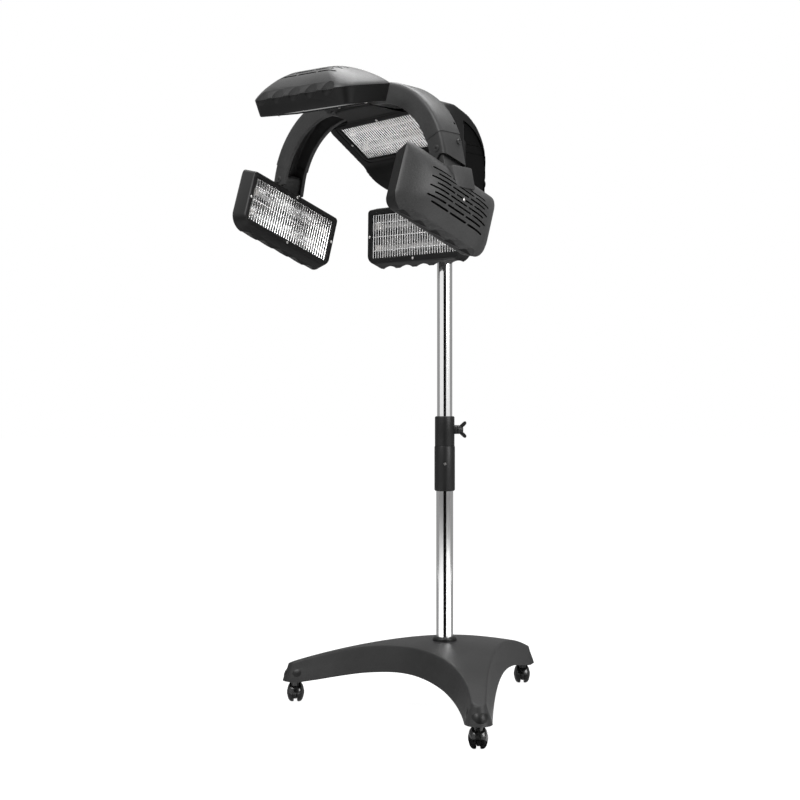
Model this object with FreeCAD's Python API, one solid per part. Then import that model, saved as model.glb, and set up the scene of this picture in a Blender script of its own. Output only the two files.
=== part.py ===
import FreeCAD, Part
import math
import os
from FreeCAD import Vector as V, Placement, Rotation

# A five-lamp hair colour processor on a rolling stand.  Millimetres, +Z up, origin on the floor
# at the pole's axis.  The head unit has a frame of its own: x forward over the client, y to the
# client's right-hand lamp, turned HEAD_TURN about the pole.

# ---- driving dimensions -------------------------------------------------------------------
LOWER_TUBE_D, UPPER_TUBE_D, TUBE_WALL = 38.0, 34.0, 1.5
HUB_TOP = 158.0             # top of the foot casting at the pole
COLLAR_Z0, COLLAR_D = 154.0, 54.0
LEG_REACH = 350.0           # pole axis to a caster's stem
LEG_HEADINGS = {"right": 55.0, "left": 167.0, "front": 279.0}
WAISTS = (124.0, 112.0, 134.0)       # pole axis to the foot's edge between each leg and the next
LEG_BOTTOM = 52.0           # underside of a toe
TOE_R = 28.0
EDGE = 2.0                  # how far the sides stand out from the waists' and toes' outline
SHELL = 4.0
LOWER_TUBE_TOP = 640.0
SLEEVE_Z0, SLEEVE_SPLIT, SLEEVE_Z1 = 491.0, 591.0, 658.0
SLEEVE_D = 46.0
KNOB_Z = 628.0
UPPER_TUBE_Z0, UPPER_TUBE_Z1 = 400.0, 1262.0
WHEEL_D, WHEEL_W, WHEEL_GAP = 44.0, 14.0, 11.0
CASTER_TRAIL = 14.0

HEAD_TURN = 225.0
FACE_W, FACE_H = 248.0, 120.0        # a lamp's front rim
GRILLE_W, GRILLE_H = 226.0, 96.0     # its open face
BAND_DEPTH, SEAM_FLARE = 32.0, 9.0   # front band and how much it flares towards the seam
BOWL_DEPTH, CROWN_BOWL = 30.0, 18.0  # reflectors behind the face; the central lamp's is shallow
LAMP_DEPTH = 78.0
CROWN_W = 238.0                      # the central lamp's open face is longer
WALL = 3.0
ARM_W, ARM_T = 62.0, 44.0            # section of the arms
NECK_T = 22.0                        # thickness of a lamp's neck inside its arm
# front and rear lamp: tilt pin behind the face, thickness of the arm, pin's height over the middle
NECKS = {"front": (-20.0, 38.0, 100.0), "rear": (-36.0, 44.0, 100.0)}
ARM_X, ARM_BEND = 251.0, 176.0       # plane of the side arms' arches and their axis radius
ARM_TOP = 1319.0                     # height of the arches' crown, where the root pins are
ARM_LEAN = 13.0                      # angle of arch left below the tilt pin
ROOT_Y, ROOT_R = 68.0, 22.0          # root pins beside the middle plane
SLEEVE_END = 74.0                    # an arm's lower end, over the middle of its lamp
PIN_D = 8.0
ROOT_PIN_D = 10.0
RUN_FIT = 0.05                       # radial clearance of a turning fit
NECK_GAP = 1.5                       # side clearance of a neck inside its arm

# lamp poses in the head unit's frame: x, y, z of the face's middle, heading, pitch, roll
LAMPS = {
    "front": (402.0, 38.0, 1272.0, 194.6, -76.6, 9.5),
    "left": (272.0, -204.0, 1090.0, 90.0, 4.0, -19.0),
    "right": (264.0, 215.0, 1077.0, -90.0, -1.0, 19.0),
    "rear": (108.0, 6.0, 1057.0, 9.0, 1.0, 0.0),
    "crown": (166.0, 0.0, 1257.0, 0.0, -58.0, 0.0),
}


# ---- small helpers ------------------------------------------------------------------------
def fused(*shapes):
    return shapes[0].fuse(list(shapes[1:])).removeSplitter()


def box(x0, x1, y0, y1, z0, z1):
    return Part.makeBox(x1 - x0, y1 - y0, z1 - z0, V(x0, y0, z0))


def rod(radius, start, end):
    start, end = V(*start), V(*end)
    return Part.makeCylinder(radius, (end - start).Length, start, end - start)


def tube(outer, inner, z0, z1, x=0.0, y=0.0):
    return rod(outer, (x, y, z0), (x, y, z1)).cut(rod(inner, (x, y, z0 - 1), (x, y, z1 + 1)))


def rounded_rect(width, height, radius, x):
    """A rounded rectangle across X, width along Y and height along Z."""
    w, h, k = width / 2, height / 2, radius * (1 - math.sqrt(0.5))
    r, edges, corner = radius, [], []
    for sy, sz in ((1, 1), (-1, 1), (-1, -1), (1, -1)):
        on_side, on_top = V(x, sy * w, sz * (h - r)), V(x, sy * (w - r), sz * h)
        bend = V(x, sy * (w - k), sz * (h - k))
        corner.append((on_side, bend, on_top) if sy * sz > 0 else (on_top, bend, on_side))
    for i, (start, bend, end) in enumerate(corner):
        edges.append(Part.Arc(start, bend, end).toShape())
        edges.append(Part.LineSegment(end, corner[(i + 1) % 4][0]).toShape())
    return Part.Wire(edges)


def loft(sections, ruled=True):
    return Part.makeLoft([rounded_rect(*s) for s in sections], True, ruled)


def prism(points, axis, low, high):
    """A polygon of (a, b) pairs pushed along an axis: x -> (y, z), y -> (x, z), z -> (x, y)."""
    lift = {"x": lambda a, b: V(low, a, b), "y": lambda a, b: V(a, low, b), "z": lambda a, b: V(a, b, low)}
    push = {"x": V(high - low, 0, 0), "y": V(0, high - low, 0), "z": V(0, 0, high - low)}
    wire = Part.makePolygon([lift[axis](a, b) for a, b in points + points[:1]])
    return Part.Face(wire).extrude(push[axis])


def positive(shape):
    """The same solid with its faces outwards."""
    if shape.Volume < 0:
        shape.reverse()
    return shape


def largest(shape):
    return max(shape.Solids, key=lambda solid: solid.Volume)


def spun(wire):
    """Full turn of a closed outline about the pole, faces outwards."""
    face = Part.Face(wire)
    solid = face.revolve(V(0, 0, 0), V(0, 0, 1), 360)
    return solid if solid.Volume > 0 else face.revolve(V(0, 0, 0), V(0, 0, -1), 360)


def ring(points):
    """Solid of revolution about the pole of a closed (radius, height) polygon."""
    return spun(Part.makePolygon([V(r, 0, z) for r, z in points + points[:1]]))


def turned(shape, degrees):
    out = shape.copy()
    out.rotate(V(0, 0, 0), V(0, 0, 1), degrees)
    return out


def in_unit(shape):
    return turned(shape, HEAD_TURN)


def lamp_place(name):
    """Frame of a lamp: origin in the middle of its face, x out of the face, z to the neck."""
    x, y, z, heading, pitch, roll = LAMPS[name]
    spin = Rotation(V(0, 0, 1), heading).multiply(Rotation(V(0, 1, 0), -pitch))
    return Placement(V(x, y, z), spin.multiply(Rotation(V(1, 0, 0), roll)))


def arm_place(name):
    """Frame of a side arm: origin in the middle of the arch, x inwards, z up."""
    side = -1 if name == "left" else 1
    return Placement(V(ARM_X, side * ROOT_Y, ARM_TOP - ARM_BEND), Rotation(V(0, 0, 1), -90 * side))


def neck_place(name):
    """Frame of a lamp's neck: origin on the tilt pin, z up the neck, x towards the client."""
    if name in NECKS:
        x, _, rise = NECKS[name]
        return lamp_place(name).multiply(Placement(V(x, 0, rise), Rotation()))
    lean = Placement(V(0, 0, 0), Rotation(V(0, 1, 0), ARM_LEAN))
    return arm_place(name).multiply(lean).multiply(Placement(V(-ARM_BEND, 0, 0), Rotation()))


def placed(shape, place):
    out = shape.copy()
    out.Placement = place.multiply(out.Placement)
    return out


def on_lamp(shape, name):
    return in_unit(placed(shape, lamp_place(name)))


# ---- foot ---------------------------------------------------------------------------------
def star_wire(z, grow):
    """Outline of the three-legged foot: round toes joined by concave arcs."""
    edges, toes = [], []
    for a in LEG_HEADINGS.values():
        u = V(math.cos(math.radians(a)), math.sin(math.radians(a)), 0)
        n = V(-u.y, u.x, 0)
        mid = u * LEG_REACH + V(0, 0, z)
        r = TOE_R + grow
        toes.append((mid - n * r, mid + u * r, mid + n * r, a))
    for i, (right, tip, left, a) in enumerate(toes):
        nxt = toes[(i + 1) % 3]
        gap = (nxt[3] - a) % 360
        m = math.radians(a + gap / 2)
        waist = WAISTS[i] + grow
        belly = V(math.cos(m) * waist, math.sin(m) * waist, z)
        edges.append(Part.Arc(right, tip, left).toShape())
        edges.append(Part.Arc(left, belly, nxt[0]).toShape())
    return Part.Wire(edges)


def star(grow):
    """The foot's plan as an upright block."""
    return positive(Part.Face(star_wire(40, grow)).extrude(V(0, 0, 135)))


def under_arc(start, middle, end, low=-50.0):
    """Ring-shaped solid about the pole under an arc of (radius, height) points."""
    points = [V(r, 0, z) for r, z in (start, middle, end)]
    outside, inside = V(end[0], 0, low), V(start[0], 0, low)
    edges = [Part.Arc(*points).toShape(), Part.makeLine(points[2], outside),
             Part.makeLine(outside, inside), Part.makeLine(inside, points[0])]
    return spun(Part.Wire(edges))


def foot_top(down):
    return under_arc((10, HUB_TOP - down), (200, HUB_TOP - 22 - down), (420, HUB_TOP - 88 - down))


def foot_arch():
    return ring([(8, -50), (8, 104), (90, 100), (190, 82), (290, 60), (335, LEG_BOTTOM),
                 (430, LEG_BOTTOM), (430, -50)])


def base_shell():
    body = star(EDGE).common(foot_top(0))
    inner = star(EDGE - SHELL).common(foot_top(SHELL))
    body = body.cut(inner).cut(foot_arch())
    for a in LEG_HEADINGS.values():
        boss = turned(rod(11, (LEG_REACH, 0, LEG_BOTTOM), (LEG_REACH, 0, 92)), a)
        body = body.fuse(boss).cut(turned(rod(5.5 + RUN_FIT, (LEG_REACH, 0, 0), (LEG_REACH, 0, 84)), a))
    body = body.fuse(rod(44, (0, 0, 118), (0, 0, COLLAR_Z0)))
    body = body.cut(rod(COLLAR_D / 2, (0, 0, COLLAR_Z0), (0, 0, 200)))
    return body.cut(rod(LOWER_TUBE_D / 2, (0, 0, 60), (0, 0, 200)))


def base_ballast():
    disc = rod(58, (0, 0, 104), (0, 0, 118))
    return disc.cut(rod(LOWER_TUBE_D / 2, (0, 0, 90), (0, 0, 130)))


def pole_collar():
    bore, r, top = LOWER_TUBE_D / 2, COLLAR_D / 2, HUB_TOP + 8
    return ring([(bore, COLLAR_Z0), (r, COLLAR_Z0), (r, top - 4), (r - 3, top), (bore, top)])


def foot_screws():
    """Three cap screws hold the ballast disc up against the seat."""
    out = []
    for i in range(3):
        head = rod(5, (36, 0, 98), (36, 0, 104))
        out.append(turned(head, 50 + 120 * i))
    return Part.makeCompound(out)


def caster_parts(heading):
    """Twin-wheel caster: hood with its stem, and two wheels on an axle, trailing to +Y."""
    a = math.radians(heading)
    sx, sy = LEG_REACH * math.cos(a), LEG_REACH * math.sin(a)
    ax_y, ax_z, r = CASTER_TRAIL, WHEEL_D / 2, WHEEL_D / 2
    hood = rod(r + 1.5, (-WHEEL_GAP / 2 + 0.6, ax_y, ax_z), (WHEEL_GAP / 2 - 0.6, ax_y, ax_z))
    hood = hood.cut(box(-30, 30, -40, 60, -10, ax_z - 8))
    half = WHEEL_W + WHEEL_GAP / 2
    crown = rod(r + 4.2, (-half, ax_y, ax_z), (half, ax_y, ax_z))
    crown = crown.cut(rod(r + 1.5, (-40, ax_y, ax_z), (40, ax_y, ax_z)))
    crown = crown.common(box(-40, 40, -30, ax_y + 12, ax_z + 4, 60))
    stem = fused(rod(4.8, (0, 0, 34), (0, 0, 42)), rod(5.5, (0, 0, 40), (0, 0, 84)),
                 rod(9, (0, 0, 40), (0, 0, LEG_BOTTOM - 0.4)))
    hood = hood.fuse([crown, stem]).cut(rod(2.5 + RUN_FIT, (-40, ax_y, ax_z), (40, ax_y, ax_z)))
    wheels = []
    for side in (-1, 1):
        hood = hood.cut(rod(r + 0.8, (side * (WHEEL_GAP / 2 - 0.6), ax_y, ax_z), (side * 30, ax_y, ax_z)))
        x0 = side * WHEEL_GAP / 2
        x1 = side * (WHEEL_GAP / 2 + WHEEL_W)
        wheel = rod(r, (x0, ax_y, ax_z), (x1, ax_y, ax_z)).cut(rod(2.5, (-40, ax_y, ax_z), (40, ax_y, ax_z)))
        outer = [e for e in wheel.Edges if abs(e.Length - math.pi * WHEEL_D) < 0.1]
        dish = rod(13, (x1 - side * 2, ax_y, ax_z), (x1 + side, ax_y, ax_z))
        wheels.append(wheel.makeFillet(3.0, outer).cut(dish))
    wheels.append(rod(2.5, (-half, ax_y, ax_z), (half, ax_y, ax_z)))
    move = V(sx, sy, 0)
    both = [hood, Part.makeCompound(wheels)]
    for s in both:
        s.translate(move)
    return both


# ---- pole ---------------------------------------------------------------------------------
def lower_tube():
    body = tube(LOWER_TUBE_D / 2, LOWER_TUBE_D / 2 - TUBE_WALL, 104, LOWER_TUBE_TOP)
    return body.cut(rod(4.3, (0, 0, KNOB_Z), (40, 0, KNOB_Z)))


def upper_tube():
    return tube(UPPER_TUBE_D / 2, UPPER_TUBE_D / 2 - TUBE_WALL, UPPER_TUBE_Z0, UPPER_TUBE_Z1)


def tube_plug():
    """Nylon plug in the upper tube's foot, which keeps it centred in the lower tube."""
    plug = rod(LOWER_TUBE_D / 2 - TUBE_WALL - RUN_FIT, (0, 0, UPPER_TUBE_Z0 - 10), (0, 0, UPPER_TUBE_Z0))
    return plug.fuse(rod(UPPER_TUBE_D / 2 - TUBE_WALL, (0, 0, UPPER_TUBE_Z0), (0, 0, UPPER_TUBE_Z0 + 25)))


def chamfered_sleeve(z0, z1, d, low_chamfer, high_chamfer, bore):
    r = d / 2
    return ring([(bore, z0), (r - low_chamfer, z0), (r, z0 + low_chamfer),
                 (r, z1 - high_chamfer), (r - high_chamfer, z1), (bore, z1)])


def clamp_sleeve_lower():
    return chamfered_sleeve(SLEEVE_Z0, SLEEVE_SPLIT, SLEEVE_D, 3, 1, LOWER_TUBE_D / 2)


def sleeve_screw():
    """Flat head of the grub screw that fixes the lower sleeve."""
    head = rod(3.2, (0, -SLEEVE_D / 2 - 1.2, 552), (0, -SLEEVE_D / 2 + 2, 552))
    return head.cut(rod(SLEEVE_D / 2, (0, 0, 540), (0, 0, 560)))


def clamp_sleeve_upper():
    body = chamfered_sleeve(SLEEVE_SPLIT, SLEEVE_Z1, SLEEVE_D - 2, 1, 3, LOWER_TUBE_D / 2)
    lip = tube(LOWER_TUBE_D / 2 + 0.5, UPPER_TUBE_D / 2 + RUN_FIT, LOWER_TUBE_TOP, SLEEVE_Z1 - 3)
    boss = rod(10, (LOWER_TUBE_D / 2 + 1, 0, KNOB_Z), (SLEEVE_D / 2 + 5, 0, KNOB_Z))
    body = body.fuse([lip, boss])
    return body.cut(rod(4 + RUN_FIT, (UPPER_TUBE_D / 2, 0, KNOB_Z), (60, 0, KNOB_Z)))


def clamp_knob():
    """Wing knob: stud, round hub and two flared wings."""
    x0 = SLEEVE_D / 2 + 5.4
    stud = rod(4, (UPPER_TUBE_D / 2 + 0.1, 0, KNOB_Z), (x0 + 10, 0, KNOB_Z))
    hub = Part.makeCone(10, 7, 12, V(x0, 0, KNOB_Z), V(1, 0, 0))
    wing = [(x0 + 1, -6), (x0 + 1, 6), (x0 + 15, 19), (x0 + 20, 17), (x0 + 20, 11), (x0 + 9, 3),
            (x0 + 9, -3), (x0 + 20, -11), (x0 + 20, -17), (x0 + 15, -19)]
    wings = prism([(x, KNOB_Z + z) for x, z in wing], "y", -3, 3)
    return fused(stud, hub, wings)


# ---- lamps --------------------------------------------------------------------------------
def cover_dome():
    w, h, x0 = FACE_W + 2 * SEAM_FLARE, FACE_H + 2 * SEAM_FLARE, -BAND_DEPTH
    return loft([(w, h, 22, x0), (w - 6, h - 6, 24, x0 - 12), (w - 26, h - 26, 27, x0 - 28),
                 (w - 62, h - 56, 27, x0 - 39), (w - 104, h - 90, 20, -LAMP_DEPTH)])


def lamp_cover():
    """Domed back cover with three staggered vent slots in each of eight rows."""
    w, h, x0 = FACE_W + 2 * SEAM_FLARE, FACE_H + 2 * SEAM_FLARE, -BAND_DEPTH
    hollow = loft([(w - 8, h - 8, 18, x0 + 0.1), (w - 14, h - 14, 20, x0 - 12), (w - 36, h - 36, 20, x0 - 26),
                   (w - 78, h - 72, 16, x0 - 36)])
    body = cover_dome().cut(hollow)
    slots = []
    for row in range(8):
        z, slip = 9.4 * row - 35, 7.0 if row % 2 else -7.0
        for y in (-52.0, 0.0, 52.0):
            slots.append(box(-LAMP_DEPTH - 5, x0 - 26, y + slip - 23, y + slip + 23, z, z + 3.2))
    return body.cut(Part.makeCompound(slots))


def lamp_neck(foot):
    """Flat neck with a knuckle on the tilt pin, in the neck's frame; its foot reaches back."""
    half = ARM_W / 2 - WALL - 1 - NECK_GAP
    body = fused(box(-NECK_T / 2, NECK_T / 2, -half, half, -78, 0),
                 rod(NECK_T / 2, (0, -half, 0), (0, half, 0)),
                 box(-NECK_T / 2 - foot, NECK_T / 2, -half, half, -78, -28))
    return body.cut(rod(PIN_D / 2 + RUN_FIT, (0, -60, 0), (0, 60, 0)))


def lamp_back(name):
    """A lamp's cover and neck in one; the neck stops at the cover's outside and at the front band."""
    taken = cover_dome().fuse(band_block(FACE_W, SEAM_FLARE, BAND_DEPTH))
    neck = placed(lamp_neck(18.0 if name == "front" else 0.5), neck_place(name))
    neck = largest(neck.cut(placed(taken, lamp_place(name))))
    return placed(lamp_cover(), lamp_place(name)).fuse(neck)


def flat_section(width, thick, z, radius=12.0):
    wire = rounded_rect(width, thick, min(radius, thick / 2 - 1), 0)
    wire.rotate(V(0, 0, 0), V(0, 1, 0), 90)
    wire.translate(V(0, 0, z))
    return wire


def band_block(rim_w, f, depth):
    return loft([(rim_w, FACE_H, 14, 0), (rim_w + 2 * f, FACE_H + 2 * f, 22, -depth)])


def lamp_bezel(open_w, rim_w, fluted):
    """Front band: side walls and a lip round the open face; on an arm's lamp flared, with flutes."""
    f, depth = (SEAM_FLARE, BAND_DEPTH) if fluted else (0.0, CROWN_BOWL)
    outer = band_block(rim_w, f, depth)
    inner = loft([(rim_w - 2 * WALL, FACE_H - 2 * WALL, 11, -WALL),
                  (rim_w + 2 * f - 2 * WALL, FACE_H + 2 * f - 2 * WALL, 19, -depth - 0.1)])
    body = outer.cut(inner).cut(box(-WALL - 1, 1, -open_w / 2, open_w / 2, -GRILLE_H / 2, GRILLE_H / 2))
    for y in (-78, -32, 14, 60) if fluted else ():
        body = body.cut(Part.makeCone(5, 10, 40, V(-38, y, -FACE_H / 2 - f - 4.0), V(1, 0.45, 0.22)))
    return body


def lamp_grille(open_w):
    """Guard of upright wires over three long ones, in a wire frame behind the lip."""
    w, h, x = open_w + 8, GRILLE_H + 8, -WALL - 3
    frame = box(x, x + 3, -w / 2, w / 2, -h / 2, h / 2)
    frame = frame.cut(box(x - 1, x + 5, 4 - w / 2, w / 2 - 4, 4 - h / 2, h / 2 - 4))
    bars = []
    count = int(open_w / 14)
    for i in range(count):
        y = (i + 0.5) * open_w / count - open_w / 2
        bars.append(box(x + 1.5, x + 3, y - 0.8, y + 0.8, 2 - h / 2, h / 2 - 2))
    for z in (-26, 0, 26):
        bars.append(box(x, x + 1.6, 2 - w / 2, w / 2 - 2, z - 0.8, z + 0.8))
    return frame.fuse(bars)


def lamp_reflector(open_w, depth):
    """Polished trough, bent from sheet, with an end plate each side."""
    front, back = -WALL - 3, -depth
    profile = [(front, 50), (0.65 * back, 46), (back, 30), (back, -30), (0.65 * back, -46), (front, -50)]
    inner = [(min(x + 1.2, front), z * 0.965) for x, z in profile]
    sheet = prism(profile + inner[::-1], "y", -open_w / 2 + 1, open_w / 2 - 1)
    ends = [prism(profile, "y", y, y + 1) for y in (-open_w / 2, open_w / 2 - 1)]
    return fused(sheet, *ends)


def lamp_tubes(open_w, depth):
    """Two quartz heater tubes in ceramic ends."""
    half, x, r = open_w / 2 - 16, -4 - depth * 0.5, 2 + depth * 0.1
    out = []
    for z in (-22, 22):
        out.append(rod(r, (x, -half, z), (x, half, z)))
        for side in (-1, 1):
            y0, y1 = sorted((side * half, side * (half + 14)))
            out.append(box(1.2 - depth, x + r + 1, y0, y1, z - 6.5, z + 6.5))
    return Part.makeCompound(out)


# ---- arms ---------------------------------------------------------------------------------
def channel(z):
    """Section of a side arm: a channel open to the client, with lips and a middle rib."""
    w, t, wall, lip, rib = ARM_W / 2, ARM_T / 2, WALL + 1, 10.0, 1.5
    pts = [(-t, -w), (t, -w), (t, -w + lip), (t - wall, -w + lip), (t - wall, -w + wall),
           (wall - t, -w + wall), (wall - t, -rib), (16 - t, -rib), (16 - t, rib), (wall - t, rib),
           (wall - t, w - wall), (t - wall, w - wall), (t - wall, w - lip), (t, w - lip), (t, w), (-t, w)]
    return Part.Face(Part.makePolygon([V(x, y, z) for x, y in pts + pts[:1]]))


def side_arm(name):
    """Arched arm from over its lamp, past the tilt pin, up to the root pin in the head body."""
    half, room = ARM_W / 2, ARM_T / 2 - WALL - 1
    arch = positive(channel(0).revolve(V(ARM_BEND, 0, 0), V(0, 1, 0), 90 - ARM_LEAN))
    body = fused(channel(-70).extrude(V(0, 0, 70)), arch)
    body = body.cut(box(-room, room, WALL + 1 - half, half - WALL - 1, -71, 15))
    body = body.cut(rod(PIN_D / 2, (0, -60, 0), (0, 60, 0)))
    body = placed(body, neck_place(name))
    lamp_room = box(-130, 60, -160, 160, -80, SLEEVE_END)
    body = body.cut(placed(lamp_room, lamp_place(name)))
    root = (0, -half, ARM_BEND), (0, half, ARM_BEND)
    knuckle = rod(ROOT_R, *root).cut(rod(ROOT_PIN_D / 2 + RUN_FIT, (0, -60, ARM_BEND), (0, 60, ARM_BEND)))
    body = body.cut(placed(rod(ROOT_R, *root), arm_place(name)))
    return largest(body.fuse(placed(knuckle, arm_place(name))))


def tilt_pin():
    return rod(PIN_D / 2, (0, -ARM_W / 2, 0), (0, ARM_W / 2, 0))


def root_bracket():
    """Folded steel bracket that holds the root pin: a web and two cheeks."""
    inner, outer, z = ARM_W / 2 + 0.8, ARM_W / 2 + 2.8, ARM_BEND
    body = box(ROOT_R + 2.6, ROOT_R + 5, -outer, outer, z - 15, z + 6)
    for side in (-1, 1):
        y0, y1 = sorted((side * inner, side * outer))
        body = fused(body, box(0, ROOT_R + 5, y0, y1, z - 15, z + 6), rod(9, (0, y0, z), (0, y1, z)))
    return body.cut(rod(ROOT_PIN_D / 2, (0, -70, z), (0, 70, z)))


def root_pin():
    half, z = ARM_W / 2, ARM_BEND
    pin = rod(ROOT_PIN_D / 2, (0, -half - 4, z), (0, half + 4, z))
    return fused(pin, rod(7, (0, half + 2.8, z), (0, half + 4.8, z)))


def root_bay(grow):
    """Room in the head body for a side arm's root: round about the pin and open to the side."""
    half, z = ARM_W / 2 + 5 + grow, ARM_BEND
    barrel = rod(ROOT_R + 4 + grow, (0, -half, z), (0, half, z))
    web = box(0, ROOT_R + 5.5 + grow, -half, half, z - 16 - grow, z + 11.5 + grow)
    low = z - ROOT_R - 3.5 - grow
    floor = [(0, low), (-60, low - 14), (-100, low - 38), (-200, low - 170)]
    way = prism(floor + [(-200, z + 120), (0, z + 120)], "y", -half, half)
    return fused(barrel, web, way)


def short_arm(name, length, spread):
    """Straight hollow arm that carries the front or the rear lamp from the head body."""
    thick, cut = NECKS[name][1], 2 * WALL + 2
    low, middle = (ARM_W, thick, -20), (ARM_W, thick, 12)
    high = (ARM_W + spread, thick + spread / 4, length)
    outer = Part.makeLoft([flat_section(*level) for level in (low, middle, high)], True, True)
    inner = Part.makeLoft([flat_section(w - cut, t - cut, z + more, 2)
                           for (w, t, z), more in ((low, -1), (middle, 0), (high, 1))], True, True)
    body = outer.cut(inner).cut(rod(PIN_D / 2, (0, -60, 0), (0, 60, 0)))
    return placed(body, neck_place(name))


# ---- head unit ----------------------------------------------------------------------------
def hub_solid(inset):
    """Head body: an arched side view, a beetle-shaped plan and a bowl-like front view, met."""
    i = inset
    side = [Part.Arc(V(292 - i, 0, 1325 - i), V(150, 0, 1360 - i), V(-4, 0, 1330 - i)).toShape(),
            Part.Arc(V(-4, 0, 1330 - i), V(-62 + i, 0, 1288 - i), V(-86 + i, 0, 1216)).toShape(),
            Part.makeLine(V(-86 + i, 0, 1216), V(-80 + i, 0, 1150 + i)),
            Part.makeLine(V(-80 + i, 0, 1150 + i), V(30, 0, 1150 + i)),
            Part.Arc(V(30, 0, 1150 + i), V(84 - i, 0, 1179), V(105 - i, 0, 1218.9 + i)).toShape(),
            Part.makeLine(V(105 - i, 0, 1218.9 + i), V(224 - i, 0, 1293.2 + i)),
            Part.makeLine(V(224 - i, 0, 1293.2 + i), V(288 - i, 0, 1300 + i)),
            Part.makeLine(V(288 - i, 0, 1300 + i), V(292 - i, 0, 1325 - i))]
    slab = positive(Part.Face(Part.Wire(side)).extrude(V(0, 400, 0)))
    slab.translate(V(0, -200, 0))
    w, n, z = 158 - i, 54 - i, 1100
    rear, front = -100 + i, 296 - i
    plan = [Part.makeLine(V(rear, -n, z), V(-20, -n, z)),
            Part.Arc(V(-20, -n, z), V(32, -w + 36, z), V(90, -w, z)).toShape(),
            Part.makeLine(V(90, -w, z), V(232, -w, z)),
            Part.Arc(V(232, -w, z), V(front, 0, z), V(232, w, z)).toShape(),
            Part.makeLine(V(232, w, z), V(90, w, z)),
            Part.Arc(V(90, w, z), V(32, w - 36, z), V(-20, n, z)).toShape(),
            Part.makeLine(V(-20, n, z), V(rear, n, z)),
            Part.makeLine(V(rear, n, z), V(rear, -n, z))]
    column = positive(Part.Face(Part.Wire(plan)).extrude(V(0, 0, 400)))
    wide, top, low = 170 - i, 1364 - i, 1304 - i
    view = [Part.Arc(V(-200, -wide, low), V(-200, 0, top), V(-200, wide, low)).toShape(),
            Part.makeLine(V(-200, wide, low), V(-200, wide, 1262)),
            Part.Arc(V(-200, wide, 1262), V(-200, 138 - i, 1196 + i / 2), V(-200, 64, 1148 + i)).toShape(),
            Part.makeLine(V(-200, 64, 1148 + i), V(-200, -64, 1148 + i)),
            Part.Arc(V(-200, -64, 1148 + i), V(-200, i - 138, 1196 + i / 2), V(-200, -wide, 1262)).toShape(),
            Part.makeLine(V(-200, -wide, 1262), V(-200, -wide, low))]
    bowl = positive(Part.Face(Part.Wire(view)).extrude(V(600, 0, 0)))
    return slab.common(column).common(bowl)


def hub_halves():
    """Upper cover and lower shell of the head body, with bays, lamp opening and pole hole."""
    outer = hub_solid(0)
    shell = outer.cut(hub_solid(WALL + 0.5))
    for name in ("left", "right"):
        shell = shell.fuse(placed(root_bay(WALL), arm_place(name)).common(outer))
        shell = shell.cut(placed(root_bay(0), arm_place(name)))
    opening = loft([(CROWN_W + 22, FACE_H, 14, -CROWN_BOWL), (CROWN_W + 22, FACE_H, 14, 16)])
    shell = shell.cut(placed(opening, lamp_place("crown")))
    shell = shell.cut(rod(UPPER_TUBE_D / 2 + 2, (0, 0, 1100), (0, 0, 1200)))
    shell = shell.cut(placed(rod(NECK_T / 2 + 4, (0, -36, 0), (0, 36, 0)), neck_place("rear")))
    for name, reach in (("front", 34), ("rear", 70)):
        half, thick = ARM_W / 2 - 5, NECKS[name][1] / 2 - 5
        way = box(-thick, thick, -half, half, 10, reach)
        shell = shell.cut(placed(way, neck_place(name)))
    seam = [(-200, 1262), (60, 1262), (160, 1284), (216, 1290), (300, 1290)]
    upper = shell.common(prism(seam + [(300, 1500), (-200, 1500)], "y", -300, 300))
    lower = shell.common(prism(seam + [(300, 1000), (-200, 1000)], "y", -300, 300))
    return largest(upper), largest(lower)


def pole_socket():
    """Turned socket in which the head body swivels on the pole."""
    bore = UPPER_TUBE_D / 2 + RUN_FIT
    body = ring([(bore, 1153.5), (42, 1153.5), (42, 1160), (26, 1164), (26, UPPER_TUBE_Z1 + 6),
                 (0, UPPER_TUBE_Z1 + 6), (0, UPPER_TUBE_Z1), (bore, UPPER_TUBE_Z1)])
    return body.common(hub_solid(WALL + 0.5))


PANEL_X, PANEL_Z = -86.0, 1186.0


def control_panel():
    plate = loft([(82, 62, 8, PANEL_X + 6), (78, 58, 8, PANEL_X - 4)])
    plate.translate(V(0, 0, PANEL_Z))
    plate = plate.cut(hub_solid(0))
    plate = plate.cut(rod(3 + RUN_FIT, (PANEL_X - 10, 18, PANEL_Z), (PANEL_X + 20, 18, PANEL_Z)))
    return plate.cut(box(PANEL_X - 10, PANEL_X + 3, -34, -10, PANEL_Z - 8, PANEL_Z + 8))


def timer_knob():
    x0 = PANEL_X - 4.4
    body = Part.makeCone(15, 13, 13, V(x0, 18, PANEL_Z), V(-1, 0, 0))
    grip = box(x0 - 17, x0 - 12, 16, 20, PANEL_Z - 13, PANEL_Z + 13)
    shaft = rod(3, (x0, 18, PANEL_Z), (x0 + 4, 18, PANEL_Z))
    return fused(body, grip, shaft)


def power_switch():
    """Rocker in the panel, resting at its off side."""
    x = PANEL_X - 1
    face = [(x - 6, PANEL_Z - 7), (x - 3.2, PANEL_Z), (x - 6, PANEL_Z + 7)]
    rocker = prism(face + [(x + 2, PANEL_Z + 5), (x + 2, PANEL_Z - 5)], "y", -33, -11)
    rocker.rotate(V(x, 0, PANEL_Z), V(0, 1, 0), -7)
    return rocker


def cable_gland():
    """Gland under the head body where the mains lead enters."""
    outer = Part.makeCone(7, 9, 14, V(-58, 0, 1136), V(0, 0, 1))
    return outer.cut(rod(3.6, (-58, 0, 1130), (-58, 0, 1160)))


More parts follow.
